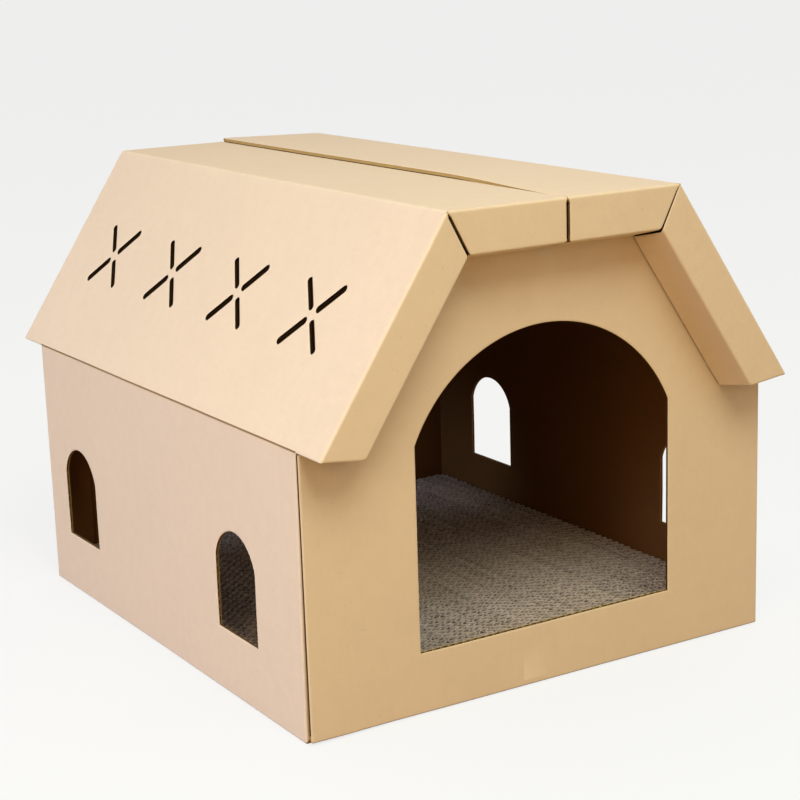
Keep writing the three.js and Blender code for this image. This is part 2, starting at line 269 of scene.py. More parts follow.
class Panel:
    """Flat board panel in its own plane: across counts the flutes, along runs with them, both in metres."""

    def __init__(self, node, across):
        self.node = node
        self.normal, self.level, self.board, loops = broad_face(node)
        self.across = (across - self.normal * across.dot(self.normal)).normalized()
        self.along = self.normal.cross(self.across)
        flat = [straightened([self.flat(corner) for corner in loop]) for loop in loops]
        flat.sort(key=lambda loop: -abs(signed_area(loop)))
        self.outline, self.holes = flat[0], flat[1:]
        # Folds along whole edges and along parts of one, by edge number, and the ends of their strips
        self.full, self.notches, self.fold_ends = {}, {}, {}

    def flat(self, place):
        return Vector((self.across.dot(place), self.along.dot(place)))

    def place(self, flat, depth=0.0):
        return self.normal * (self.level - depth) + self.across * flat[0] + self.along * flat[1]

    def corner_places(self):
        return [self.place(corner) for corner in self.outline]

    def edge_at(self, fold):
        """The outline's edge that lies along a fold."""
        gaps = [fold.offset(place) for place in self.corner_places()]
        return min(range(len(gaps)), key=lambda i: gaps[i] + gaps[(i + 1) % len(gaps)])

    def trim(self):
        """Takes the strips of the folds off the outline. Each edge that is left is cut, or meets a fold."""
        count = len(self.outline)

        def strip_width(i, fold):
            return FOLD_REACH - fold.offset(self.place(self.outline[i]))

        distances = [strip_width(i, self.full[i]) if i in self.full else 0.0 for i in range(count)]
        corners = inset(self.outline, distances)
        self.trimmed, self.is_cut = [], []
        for i, (corner, following) in enumerate(edges_of(corners)):
            self.trimmed.append(corner)
            self.is_cut.append(i not in self.full)
            if i in self.full:
                before = None if (i - 1) % count in self.full else (corners[i - 1], corner)
                after = None if (i + 1) % count in self.full else (following, corners[(i + 2) % count])
                self.fold_ends[self.full[i]] = [(corner, before), (following, after)]
            if i in self.notches:
                fold, low, high = self.notches[i]
                along = (following - corner).normalized()
                inward = left_of(along) * strip_width(i, fold)
                ends = sorted((self.flat(low), self.flat(high)), key=lambda end: (end - corner).dot(along))
                ends = [corner + along * (end - corner).dot(along) for end in ends]
                self.trimmed += [ends[0], ends[0] + inward, ends[1] + inward, ends[1]]
                self.is_cut += [False, False, False, True]
                self.fold_ends[fold] = [(ends[0] + inward, None), (ends[1] + inward, None)]

    def rings(self, distances, from_folds=0.0):
        """The trimmed outline and the holes, once for each distance from their cut edges."""
        return [
            [inset(self.trimmed, [distance if cut else from_folds for cut in self.is_cut])]
            + [inset(hole, [distance] * len(hole)) for hole in self.holes]
            for distance in distances
        ]

    def cut_edges(self):
        edges = [edge for edge, cut in zip(edges_of(self.trimmed), self.is_cut) if cut]
        return edges + [edge for hole in self.holes for edge in edges_of(hole)]

    def pinch(self, points):
        """How far the liners are turned in at some points of the panel, near its cut edges."""
        return np.max([pinch_at(gap_to_edge(points, *edge), *edge) for edge in self.cut_edges()], axis=0)


class Fold:
    """Crease between two panels, with the corner of their outer faces as its line."""

    def __init__(self, parent, child):
        self.parent, self.child = parent, child
        self.direction = parent.normal.cross(child.normal).normalized()
        rows = Matrix((parent.normal, child.normal, self.direction))
        self.base = rows.inverted() @ Vector((parent.level, child.level, 0.0))
        self.bend = parent.normal.angle(child.normal)
        self.into_parent = parent.normal.cross(self.direction)
        self.into_child = self.direction.cross(child.normal)
        edges = {panel: panel.edge_at(self) for panel in (parent, child)}
        spans = {}
        for panel, i in edges.items():
            places = panel.corner_places() * 2
            spans[panel] = sorted(self.direction.dot(place) for place in places[i:i + 2])
        low = max(span[0] for span in spans.values())
        high = min(span[1] for span in spans.values())
        wide_low, wide_high = spans[parent]
        self.span = (wide_low if low - wide_low < OPEN_END else low,
                     wide_high if wide_high - high < OPEN_END else high)
        for panel, i in edges.items():
            if low - spans[panel][0] < OPEN_END and spans[panel][1] - high < OPEN_END:
                panel.full[i] = self
            else:
                panel.notches[i] = (self, self.at(low), self.at(high))

    def at(self, distance):
        return self.base + self.direction * distance

    def offset(self, place):
        """Distance of a place from the crease's line."""
        gap = place - self.base
        return (gap - self.direction * gap.dot(self.direction)).length

    def ends(self, panel):
        """Where the fold's strip starts and ends on a panel, each with the pinch of its liners there."""
        found = []
        for corner, edge in panel.fold_ends[self]:
            pinches = pinch_at(EDGE_RINGS, *edge) if edge else np.zeros(len(EDGE_RINGS))
            found.append((self.direction.dot(panel.place(corner)), pinches))
        return sorted(found, key=lambda end: end[0])


# Meshes

class Part:
    """Vertices and faces on their way to a piece, with board coordinates for the materials, and a value
    that is wear above nothing and painted shade below it.
    """

    def __init__(self):
        self.places, self.faces, self.kinds, self.board, self.wear_and_shade = [], [], [], [], []

    def add(self, places, faces, kinds, board, wear_and_shade=None):
        self.faces += [tuple(len(self.places) + i for i in face) for face in faces]
        self.places += places
        self.kinds += kinds
        self.board += board
        self.wear_and_shade += wear_and_shade or [0.0] * len(places)


OUTER, INNER, CORE = range(3)


def inside(points, loops):
    """Which points lie inside the first loop and outside the others."""
    result = np.zeros(len(points), bool)
    x, y = points[:, 0], points[:, 1]
    for loop in loops:
        for a, b in edges_of(loop):
            if a[1] != b[1]:
                crosses = (a[1] > y) != (b[1] > y)
                result ^= crosses & (x < (b[0] - a[0]) * (y - a[1]) / (b[1] - a[1]) + a[0])
    return result


def clear_of(points, loops, gap):
    """Which points lie at least a gap away from every edge of the loops."""
    gaps = [gap_to_edge(points, *edge) for loop in loops for edge in edges_of(loop)]
    return np.min(gaps, axis=0) >= gap


def triangulate(rings, lattice, clearance):
    """Points and triangles between the loops of the first ring, through the other rings and through what of
    the lattice lies clear of the last one."""
    points, edges = [], []
    for ring in rings:
        for loop in ring:
            first = len(points)
            points += loop
            edges += edges_of(list(range(first, len(points))))
    inner = lattice[inside(lattice, rings[-1]) & clear_of(lattice, rings[-1], clearance)]
    points += [Vector(place) for place in inner]
    found, _, triangles, *_ = delaunay_2d_cdt(points, edges, [], 0, TINY)
    flat = np.array(found)
    corners = np.array(triangles)
    kept = corners[inside(flat[corners].mean(axis=1), rings[0])]
    used, numbers = np.unique(kept, return_inverse=True)
    return flat[used], [tuple(triangle) for triangle in numbers.reshape(-1, 3).tolist()]


def add_sheet(part, panel, points, triangles, upper, lower, kinds):
    """Thin closed sheet between two depths below the outer face. kinds are for top, underside and rim."""
    count = len(points)
    places = [panel.place(*pair) for depths in (upper, lower) for pair in zip(points, depths)]
    faces = list(triangles) + [tuple(count + i for i in reversed(triangle)) for triangle in triangles]
    directed = set()
    for triangle in triangles:
        directed.update(edges_of(triangle))
    rim = sorted(edge for edge in directed if (edge[1], edge[0]) not in directed)
    faces += [(a, a + count, b + count, b) for a, b in rim]
    counts = (len(triangles), len(triangles), len(rim))
    part.add(places, faces, np.repeat(kinds, counts).tolist(), list(points) * 2)


def divided(loop, step):
    """A loop with extra corners, so that none of its edges is much longer than a step."""
    result = []
    for a, b in edges_of(loop):
        count = max(1, round((b - a).length / step))
        result += [a.lerp(b, i / count) for i in range(count)]
    return result


def stops_between(low, high, step):
    """Even stops, about a step apart, between two ends and without them."""
    count = max(1, round((high - low) / step))
    return np.linspace(low, high, count + 1)[1:-1]


def lattice_of(columns, rows):
    return np.stack([axis.ravel() for axis in np.meshgrid(columns, rows)], axis=1)


def box_of(loop):
    corners = np.array(loop)
    return corners.min(axis=0), corners.max(axis=0)


def add_liners(part, panel):
    rings = [[divided(loop, GRID) for loop in ring] for ring in panel.rings(EDGE_RINGS)]
    low, high = box_of(rings[0][0])
    columns, rows = (stops_between(low[i], high[i], GRID) for i in range(2))
    points, triangles = triangulate(rings, lattice_of(columns, rows), GRID_CLEARANCE)
    pinch = panel.pinch(points)
    add_sheet(part, panel, points, triangles, pinch, pinch + LINER, (OUTER, CORE, CORE))
    base = panel.board - pinch * (not panel.node.endswith("_top"))
    add_sheet(part, panel, points, triangles, base - LINER, base, (CORE, INNER, CORE))


def add_crushed_core(part, panel):
    """Fills a half of the top between its liners, along its edge at the seam."""
    a, b = next((a, b) for a, b in edges_of(panel.outline)
                if max(abs(panel.place(a).x), abs(panel.place(b).x)) < SEAM_CUT)
    along = (b - a).normalized()
    inward = left_of(along)
    steps = round((b - a).length / GRID)
    ends = a + along * EDGE_RINGS[2], b - along * EDGE_RINGS[2]
    points = []
    for k in range(steps + 1):
        point = ends[0].lerp(ends[1], k / steps)
        points += [point + inward * EDGE_RINGS[1] / 2, point + inward * EDGE_RINGS[2]]
    triangles = []
    for k in range(0, 2 * steps, 2):
        triangles += [(k, k + 2, k + 1), (k + 1, k + 2, k + 3)]
    flat = np.array(points)
    upper = panel.pinch(flat) + LINER
    lower = np.full(len(flat), panel.board - LINER)
    add_sheet(part, panel, flat, triangles, upper, lower, (CORE,) * 3)


def flute_wave(across):
    """From -1 to 1 and back over each flute, with flat crests where the sheet is glued."""
    phase = (np.asarray(across) / FLUTE_PITCH) % 1.0
    return np.interp(phase, (0, *FLUTE_PHASES, 1), (0, 1, 1, -1, -1, 0))


def with_crossings(loop, columns, rows):
    """A loop with extra corners wherever it crosses a column or a row."""
    result = []
    for a, b in edges_of(loop):
        result.append(a)
        shares = set()
        for i, lines in enumerate((columns, rows)):
            if abs(b[i] - a[i]) > LEVEL_SLACK:
                shares.update(((lines - a[i]) / (b[i] - a[i])).tolist())
        near = CROSSING_GAP / max((b - a).length, TINY)
        last = 0.0
        for share in sorted(shares):
            if last + near < share < 1 - near:
                result.append(a.lerp(b, share))
                last = share
    return result


def add_flutes(part, panel):
    """The fluted sheet between the liners. Its triangles are found in a space where a row is as short as a
    quarter of a flute, so that they follow the flutes."""
    loops = panel.rings([FLUTE_SHORT], FLUTE_SHORT_AT_FOLD)[0]
    low, high = box_of(loops[0])
    first = math.floor(low[0] / FLUTE_PITCH) - 1
    last = math.ceil(high[0] / FLUTE_PITCH) + 1
    turns = [(i + phase) * FLUTE_PITCH for i in range(first, last) for phase in FLUTE_PHASES]
    columns = np.array([turn for turn in turns if low[0] < turn < high[0]])
    rows = stops_between(low[1], high[1], FLUTE_ROWS)
    squeeze = np.array([1.0, FLUTE_PITCH / 4 / FLUTE_ROWS])
    loops = [with_crossings(loop, columns, rows) for loop in loops]
    squeezed = [[Vector(np.array(corner) * squeeze) for corner in loop] for loop in loops]
    points, triangles = triangulate([squeezed], lattice_of(columns, rows) * squeeze, FLUTE_CLEARANCE)
    points = points / squeeze
    swing = (panel.board - 2 * LINER - FLUTED_SHEET) / 2 - panel.pinch(points)
    middle = panel.board / 2 - flute_wave(points[:, 0]) * np.clip(swing, 0, None) * FLUTE_FILL_SHARE
    half = FLUTED_SHEET / 2
    add_sheet(part, panel, points, triangles, middle - half, middle + half, (CORE,) * 3)


def fold_profile(fold):
    """Stations across a fold, from parent to child. Each has its distance from the crease, counted in the
    flat faces, its outer and its inner place as seen along the crease, and its wear above nothing or
    painted shade below it."""
    outward = (fold.parent.normal + fold.child.normal).normalized()
    thickness = fold.parent.board
    flat_start = fold.into_parent * FOLD_REACH
    flat_end = fold.into_child * FOLD_REACH
    stations = [(-FOLD_REACH, flat_start, flat_start - fold.parent.normal * thickness, 0.0)]
    scored = fold.child.node.endswith("_slope")
    at_foot = fold.child.node.endswith("_bottom_flap")
    radius = SOFT_RADIUS if fold.child.node.endswith("_top") else SHARP_RADIUS
    if at_foot:
        radius = FOOT_RADIUS
    inner_radius = max(radius - thickness, INNER_RADIUS)
    outer_centre = -outward * (radius / math.cos(fold.bend / 2))
    inner_centre = -outward * ((thickness + inner_radius) / math.cos(fold.bend / 2))
    tangent = SCORE_HALF_WIDTH if scored else radius * math.tan(fold.bend / 2)
    for i in range(FOLD_STEPS + 1):
        share = i / FOLD_STEPS
        normal = Matrix.Rotation(share * fold.bend, 3, fold.direction) @ fold.parent.normal
        outer = outer_centre + normal * radius
        side = 2 * share - 1
        wear_and_shade = RIM_WEAR * (1 - side * side)
        if scored:
            flank = fold.into_parent if side < 0 else fold.into_child
            dip = SCORE_DEPTH * (1 - abs(side) ** SCORE_POWER)
            outer = flank * abs(side) * tangent - outward * dip
            # painted shade in the pressed line, darkest at its middle
            wear_and_shade = SCORE_SHADE * (1 - abs(side))
        # painted shadow on the fold that the house stands on, complete from halfway round
        if at_foot:
            wear_and_shade = FOOT_SHADE * float(smooth(*FOOT_SHADE_SHARES, share))
        stations.append((side * tangent, outer, inner_centre + normal * inner_radius, wear_and_shade))
    # the flap beyond keeps that painted shadow
    last_wear_and_shade = FOOT_SHADE if at_foot else 0.0
    return stations + [(FOLD_REACH, flat_end, flat_end - fold.child.normal * thickness, last_wear_and_shade)]


def add_fold(part, fold):
    """Solid strip of bent board that joins two trimmed panels. Its ends are pressed like any cut edge."""
    knots = [-FOLD_REACH, 0.0, FOLD_REACH]
    (low_parent, high_parent), (low_child, high_child) = fold.ends(fold.parent), fold.ends(fold.child)
    lows = [low_parent[0], fold.span[0], low_child[0]]
    highs = [high_parent[0], fold.span[1], high_child[0]]
    if fold.child.node.endswith(("glue_flap", "bottom_flap")):
        # Beside these narrower flaps the strip keeps nearly its whole length
        lows[2] = min(lows[2], lows[1] + fold.parent.board)
        highs[2] = max(highs[2], highs[1] - fold.parent.board)
    count = max(2, round((fold.span[1] - fold.span[0]) / FOLD_ROWS))
    profile = fold_profile(fold)
    sides = ([], [])
    for distance, outer, inner, wear_and_shade in profile:
        panel = fold.parent if distance < 0 else fold.child
        low, high = np.interp(distance, knots, lows), np.interp(distance, knots, highs)
        share = (distance / FOLD_REACH + 1) / 2
        low_pinch = (1 - share) * low_parent[1] + share * low_child[1]
        high_pinch = (1 - share) * high_parent[1] + share * high_child[1]
        stops = [low + ring for ring in EDGE_RINGS[:-1]]
        stops += np.linspace(low + EDGE_RINGS[-1], high - EDGE_RINGS[-1], count + 1).tolist()
        stops += [high - ring for ring in reversed(EDGE_RINGS[:-1])]
        pinches = low_pinch[:-1].tolist() + [0.0] * (count + 1) + high_pinch[-2::-1].tolist()
        # only the outer side carries wear and painted shade
        for side, here, there, worn in zip(sides, (outer, inner), (inner, outer), (wear_and_shade, 0.0)):
            press = (there - here).normalized()
            for stop, pinch in zip(stops, pinches):
                place = fold.base + here + press * pinch + fold.direction * stop
                side.append((place, panel.flat(place), worn))
    places, board, wears_and_shades = zip(*sides[0], *sides[1])
    width, length = len(profile), len(stops)
    faces, kinds = [], []

    def number(side, k, j):
        return (side * width + k) * length + j

    def add_rim(a, b):
        """Face through the board's thickness between two neighbouring vertices."""
        faces.append((number(0, *a), number(0, *b), number(1, *b), number(1, *a)))
        kinds.append(CORE)

    for k in range(width - 1):
        for j in range(length - 1):
            square = ((k, j), (k + 1, j), (k + 1, j + 1), (k, j + 1))
            faces.append(tuple(number(0, *corner) for corner in square))
            faces.append(tuple(number(1, *corner) for corner in reversed(square)))
            kinds += [OUTER, INNER]
        add_rim((k + 1, 0), (k, 0))
        add_rim((k, length - 1), (k + 1, length - 1))
    for j in range(length - 1):
        add_rim((0, j), (0, j + 1))
        add_rim((width - 1, j + 1), (width - 1, j))
    part.add(places, faces, kinds, board, wears_and_shades)


# How the house stands

front_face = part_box("front_wall")[0].y
back_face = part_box("back_wall")[1].y
side_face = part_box("right_wall")[1].x
eave_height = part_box("left_wall")[1].z
top_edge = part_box("right_top")[1].x
top_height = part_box("right_top")[1].z
house_depth = back_face - front_face
pad_low, pad_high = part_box("scratch_pad")


def settle(places, sheet):
    """Moves a sheet's places to where the real board stands: leaning, bulging, lifted and a little wavy."""
    unmoved = places.copy()
    x, y, z = unmoved.T
    height = np.clip(z / eave_height, 0, 1)
    near = smooth(side_face - WALL_BAND[0], side_face - WALL_BAND[1], np.abs(x))
    if sheet == "left":
        forward = 1 - smooth(front_face, front_face + WALL_LEAN_SHARE * house_depth, y)
        places[:, 0] -= WALL_LEAN * near * forward * (1 - height)
    if sheet == "right":
        run = np.clip((y - front_face) / house_depth, 0, 1)
        places[:, 0] += RIGHT_BULGE * near * np.sin(math.pi * run) * np.sin(math.pi * height)
        lift = TOP_LIFT * smooth(front_face + TOP_LIFT_RUN[0], front_face + TOP_LIFT_RUN[1], y)
        places[:, 2] += lift * np.clip((top_edge - x) / top_edge, 0, 1) * (z > eave_height)
    if sheet == "front":
        high, low = FRONT_SPRING
        near = smooth(side_face - FRONT_BAND, side_face, -x)
        places[:, 1] -= near * (high * height + low * (1 - height))
    if sheet in ("front", "back"):
        inward = y - front_face if sheet == "front" else back_face - y
        sag = np.clip(1 - z / FOOT_SINK_HEIGHT, 0, 1) ** 2 * (1 - smooth(*FOOT_BAND, inward))
        places[:, 2] -= FOOT_SINK * sag * (1 - CORNER_HOLD * np.clip(-x / side_face, 0, 1) ** CORNER_POWER)
    scale = 1 / WAVINESS_LENGTH
    waves = [tuple(noise.noise_vector(Vector(place) * scale)) for place in unmoved]
    return places + np.array(waves) * WAVINESS


def add_object(name, data):
    made = bpy.data.objects.new(name, data)
    bpy.context.scene.collection.objects.link(made)
    return made


def make_piece(name, part, sheet, materials, sharp_angle):
    places = settle(np.array(part.places), sheet)
    mesh = bpy.data.meshes.new(name)
    mesh.from_pydata(places.tolist(), [], part.faces)
    for material in materials:
        mesh.materials.append(material)
    mesh.polygons.foreach_set("material_index", part.kinds)
    mesh.polygons.foreach_set("use_smooth", [True] * len(part.faces))
    board = mesh.uv_layers.new(name="board")
    board.data.foreach_set("uv", [value for face in part.faces for i in face for value in part.board[i]])
    # wear above nothing, painted shade below it
    wear_and_shade = mesh.attributes.new("wear_and_shade", "FLOAT", "POINT")
    wear_and_shade.data.foreach_set("value", part.wear_and_shade)
    mesh.set_sharp_from_angle(angle=math.radians(sharp_angle))
    mesh.update()
    return add_object(name, mesh)


# Materials

# Noises of kraft paper: scale, detail and roughness, with the range of each that counts
CLOUD, CLOUD_RANGE = (9.0, 3.0, 0.55), (0.3, 0.7)
BLOTCH, BLOTCH_RANGE = (95.0, 4.0, 0.6), (0.25, 0.75)
GRAIN, GRAIN_RANGE = (1.0, 3.0, 0.6), (0.2, 0.8)
FLECK, FLECK_RANGE = (620.0, 1.0, 0.4), (0.70, 0.82)
GRAIN_STRETCH = (420.0, 1500.0, 1.0)  # fibres are this dense across the flutes and along them
CLOUD_SHARE, GRAIN_SHARE = 0.6, 0.9  # of the mottling, which blotches have in full
FLECK_SHADE = 0.84
WASHBOARD_SHADE = 0.012  # painted shade: how much darker the liner is between two crests, for washboarding
SCUFFS = (0.35, 0.65, 0.55, 1.0)  # range of the blotches, and how much of a fold's wear it shows
UPWARD_RANGE = (0.3, 0.8)  # of a normal's rise, over which cut edges that face up take their painted light
ROUGHNESS_SPREAD = (-0.05, 0.06)
KRAFT_SURFACE = (0.22, 0.35, 0.06 * MM)  # specular level, strength of the bump and its distance
PAD_SURFACE = (0.15, 0.4, 0.05 * MM)
PAD_ROUGHNESS = 0.92
PAD_FIBRE, PAD_FIBRE_SHADES = (900.0, 3.0, 0.6), (0.25, 0.75, 0.90, 1.08)
PAD_CLOUD, PAD_CLOUD_SHADES = (14.0, 3.0, 0.5), (0.3, 0.7, 0.94, 1.05)
PAD_DUSK = 0.28  # painted shade of the paper down in the flutes
PAD_DUSK_RANGE = (2.6 * MM, 0.4 * MM)  # below the pad's top, where that is complete and where it starts
BOARD_SHARP_ANGLE, PAD_SHARP_ANGLE = 32, 50  # degrees
# colour of the painted shade in pressed lines and of the painted shadow along the foot
PAINTED_CREASE_SHADE = srgb(132, 94, 54)


def around_one(swing):
    return 1 - swing, 1 + swing


class Shader:
    """Short way to write the nodes of a material or a world."""

    def __init__(self, owner, output="OutputMaterial"):
        self.owner = owner
        owner.use_nodes = True
        self.tree = owner.node_tree
        self.tree.nodes.clear()
        self.out = self.tree.nodes.new("ShaderNode" + output)

    def node(self, kind, settings=None, *values, **inputs):
        """Outputs of a new node. Values go to its first sockets, inputs to those that they name."""
        node = self.tree.nodes.new("ShaderNode" + kind)
        for name, value in (settings or {}).items():
            setattr(node, name, value)
        for key, value in (*enumerate(values), *inputs.items()):
            if isinstance(key, str):
                key = int(key[1:]) if key[0] == "_" else key.replace("_", " ")
            if isinstance(value, bpy.types.NodeSocket):
                self.tree.links.new(value, node.inputs[key])
            else:
                node.inputs[key].default_value = value
        return node.outputs

    def finish(self, surface):
        self.tree.links.new(surface, self.out.inputs["Surface"])
        return self.owner

    def maths(self, operation, *values):
        return self.node("Math", {"operation": operation}, *values)[0]

    def product(self, first, *others):
        for other in others:
            first = self.maths("MULTIPLY", first, other)
        return first

    def vectors(self, operation, *values, **inputs):
        return self.node("VectorMath", {"operation": operation}, *values, **inputs)

    def noise(self, vector, scale, detail, roughness):
        return self.node("TexNoise", Vector=vector, Scale=scale, Detail=detail, Roughness=roughness)["Fac"]

    def ranged(self, value, *ends):
        """Turns a value's range into another one: from low, from high, to low, to high."""
        return self.node("MapRange", None, value, *ends)[0]

    def mixed(self, factor, a, b, blend="MIX"):
        return self.node("Mix", {"data_type": "RGBA", "blend_type": blend}, factor, _6=a, _7=b)[2]

    def blended(self, factor, a, b):
        return self.node("MixShader", None, factor, a, b)[0]

    def split(self, vector, axis):
        return self.node("SeparateXYZ", None, vector)[axis]

    def coordinates(self):
        """Place on the object, and place on the board."""
        board = self.node("UVMap", {"uv_map": "board"})[0]
        return self.node("TexCoord")["Object"], board

    def paper(self, tint, shade, roughness, height, specular, strength, distance):
        """Matt surface with a tint, a shade that darkens it, and a bump."""
        grey = self.node("CombineColor", None, shade, shade, shade)[0]
        base = self.mixed(1.0, tint, grey, "MULTIPLY")
        bump = self.node("Bump", Strength=strength, Distance=distance, Height=height)[0]
        looks = {"Base_Color": base, "Roughness": roughness, "Specular_IOR_Level": specular, "Normal": bump}
        return self.finish(self.node("BsdfPrincipled", **looks)[0])


def kraft(name, colour, worn, mottle=0.040, rough=0.90, washboard=0.0, painted_light_on_tops=None):
    """Kraft paper: soft mottling, fibres that lie across the flutes, a few dark specks and pale worn folds,
    with painted shade between the crests, in pressed lines and along the foot. Cut edges that face up can
    take a colour of their own, painted light."""
    shader = Shader(bpy.data.materials.new(name))
    place, board = shader.coordinates()
    cloud = shader.noise(place, *CLOUD)
    blotch = shader.noise(place, *BLOTCH)
    grain_place = shader.node("Mapping", Vector=board, Scale=GRAIN_STRETCH)[0]
    grain = shader.noise(grain_place, *GRAIN)
    fleck = shader.noise(place, *FLECK)
    flute = shader.maths("SINE", shader.product(shader.split(board, 0), 2 * math.pi / FLUTE_PITCH))
    shade = shader.product(
        shader.ranged(cloud, *CLOUD_RANGE, *around_one(CLOUD_SHARE * mottle)),
        shader.ranged(blotch, *BLOTCH_RANGE, *around_one(mottle)),
        shader.ranged(grain, *GRAIN_RANGE, *around_one(GRAIN_SHARE * mottle)),
        shader.ranged(fleck, *FLECK_RANGE, 1.0, FLECK_SHADE),
        # painted shade between the crests, for washboarding
        shader.ranged(flute, -1.0, 1.0, 1 - washboard * WASHBOARD_SHADE, 1.0),
    )
    # wear above nothing pales folds in patches; below nothing it is painted shade, and painted shadow at
    # the foot
    wear_and_shade = shader.node("Attribute", {"attribute_name": "wear_and_shade"})["Fac"]
    tint = shader.mixed(shader.product(wear_and_shade, shader.ranged(blotch, *SCUFFS)), colour, worn)
    tint = shader.mixed(shader.product(wear_and_shade, -1.0), tint, PAINTED_CREASE_SHADE)
    # painted light: cut edges that face up take a paler colour
    if painted_light_on_tops:
        upward = shader.split(shader.node("TexCoord")["Normal"], 2)
        tint = shader.mixed(shader.ranged(upward, *UPWARD_RANGE, 0.0, 1.0), tint, painted_light_on_tops)
    height = shader.maths("ADD", shader.product(grain, 0.5), shader.product(blotch, 0.5))
    height = shader.maths("ADD", height, shader.product(flute, washboard))
    roughness = shader.ranged(grain, *GRAIN_RANGE, *(rough + spread for spread in ROUGHNESS_SPREAD))
    return shader.paper(tint, shade, roughness, height, *KRAFT_SURFACE)


def pad_paper(name, colour, other_tone):
    """Paper of the pad's strips, a little different from strip to strip, with painted shade down in the
    flutes.
    """
    shader = Shader(bpy.data.materials.new(name))
    place, board = shader.coordinates()
    strip = shader.split(board, 1)
    tone = shader.node("TexWhiteNoise", {"noise_dimensions": "1D"}, W=strip)[0]
    fibre = shader.noise(place, *PAD_FIBRE)
    cloud = shader.noise(place, *PAD_CLOUD)
    deep, shallow = (pad_high.z - depth for depth in PAD_DUSK_RANGE)
    shade = shader.product(
        shader.ranged(fibre, *PAD_FIBRE_SHADES),
        shader.ranged(cloud, *PAD_CLOUD_SHADES),
        # painted shade: darker down in the flutes
        shader.ranged(shader.split(place, 2), deep, shallow, PAD_DUSK, 1.0),
    )
    return shader.paper(shader.mixed(tone, colour, other_tone), shade, PAD_ROUGHNESS, fibre, *PAD_SURFACE)


# Each paper has its colour and that of its worn folds. Liners come first, then cut edges
outer_liner = kraft("outer_liner", srgb(226, 202, 181), srgb(237, 216, 195), 0.022, 0.80, 0.35)
inner_liner = kraft("inner_liner", srgb(122, 78, 38), srgb(132, 87, 47), 0.030, 0.86, 0.5)
core_paper = kraft("core_paper", srgb(174, 142, 96), srgb(182, 150, 104))
# painted shade on the front wall's cut edges, with painted light where they face up
front_edge_painted_shade_and_light = kraft("front_edge_painted_shade_and_light", srgb(104, 76, 44), srgb(112, 82, 50), painted_light_on_tops=srgb(226, 196, 146))
seam_core = kraft("seam_core", srgb(190, 160, 106), srgb(198, 168, 114))
# painted shade: near black cut edges on the slopes and their lips, at slots and mitres
slope_edge_painted_shade = kraft("slope_edge_painted_shade", srgb(52, 36, 20), srgb(58, 42, 26))
strip_paper = pad_paper("strip_paper", srgb(240, 221, 213), srgb(226, 205, 197))

# The sheets

X, Y, Z = Vector((1, 0, 0)), Vector((0, 1, 0)), Vector((0, 0, 1))
body_of = {node: body for body, nodes in frame["record"]["behaviour"]["bodies"].items() for node in nodes}
parents = {}
for side in ("left", "right"):
    wall, slope, top = f"{side}_wall", f"{side}_slope", f"{side}_top"
    parents.update({wall: None, f"{side}_bottom_flap": wall, slope: wall, top: slope})
    for end in ("front", "back"):
        parents[f"{wall}_{end}_glue_flap"] = wall
        for roof in (slope, top):
            parents[f"{roof}_{end}_end_flap"] = roof
            parents[f"{roof}_{end}_return_flap"] = f"{roof}_{end}_end_flap"
for end in ("front", "back"):
    parents.update({f"{end}_wall": None, f"{end}_bottom_flap": f"{end}_wall"})


def up_the_sheet(node):
    """Direction in which a panel's flutes follow each other. The side sheets' flutes run from front to back
    and on around the end folds, and those of the end walls run upright."""
    if node.startswith(("front", "back")):
        return X
    if "glue_flap" in node:
        return Z
    return Y.cross(broad_normal(node.split("_front")[0].split("_back")[0]))


def papers_of(node):
    """Outer liner, inner liner and cut edges. The cut edges of the slopes and their lips, at slots and
    mitres, are near black, painted shade; those of the front wall are dark with painted shade and pale with
    painted light where they face up; and the seam on top has pale torn edges."""
    core = core_paper
    if "_slope" in node:
        core = slope_edge_painted_shade
    if node == "front_wall":
        core = front_edge_painted_shade_and_light
    if node.endswith("_top"):
        core = seam_core
    return (outer_liner, inner_liner, core)


def straighten_seam_end(panel):
    """Takes a lip's end at the seam straight down from the top's corner, as the photograph shows it."""
    places = panel.corner_places()
    at_seam = [place for place in places if abs(place.x) < SEAM_CUT]
    lowest, *between, highest = sorted(at_seam, key=lambda place: place.z)
    lowest.x = highest.x
    panel.outline = [panel.flat(place) for place in places if place not in between]


def close_seam(panel):
    """Brings a half of the top up to the other one, but for a hair."""
    for i, place in enumerate(panel.corner_places()):
        if abs(place.x) < SEAM_CUT:
            place.x = math.copysign(TOP_SEAM / 2, place.x)
            panel.outline[i] = panel.flat(place)


def two_corners(panel, rank):
    """Numbers of the panel's two corners whose places rank lowest."""
    places = panel.corner_places()
    return sorted(range(len(places)), key=lambda i: rank(places[i]))[:2]


def cut_back(panel, corners, distances):
    """Moves the two corners at an end of a panel along its sides."""
    count = len(panel.outline)
    for i, distance in zip(corners, distances):
        beside = next(j for j in ((i - 1) % count, (i + 1) % count) if j not in corners)
        along = (panel.outline[beside] - panel.outline[i]).normalized()
        panel.outline[i] = panel.outline[i] + along * distance


def shorten_return(panel):
    """Cuts a return back at its upper end, first at the corner beside the lip."""
    places = panel.corner_places()
    highest = sorted(two_corners(panel, lambda place: -place.z), key=lambda i: -abs(places[i].y))
    cut_back(panel, highest, RETURN_GAPS)


def set_mitre(panel):
    """Moves the upper end of a slope's lip away from the lip of the top, or closer to it."""
    ends = two_corners(panel, lambda place: math.hypot(abs(place.x) - top_edge, place.z - top_height))
    cut_back(panel, ends, MITRE_CUTS[panel.node.split("_")[0]])


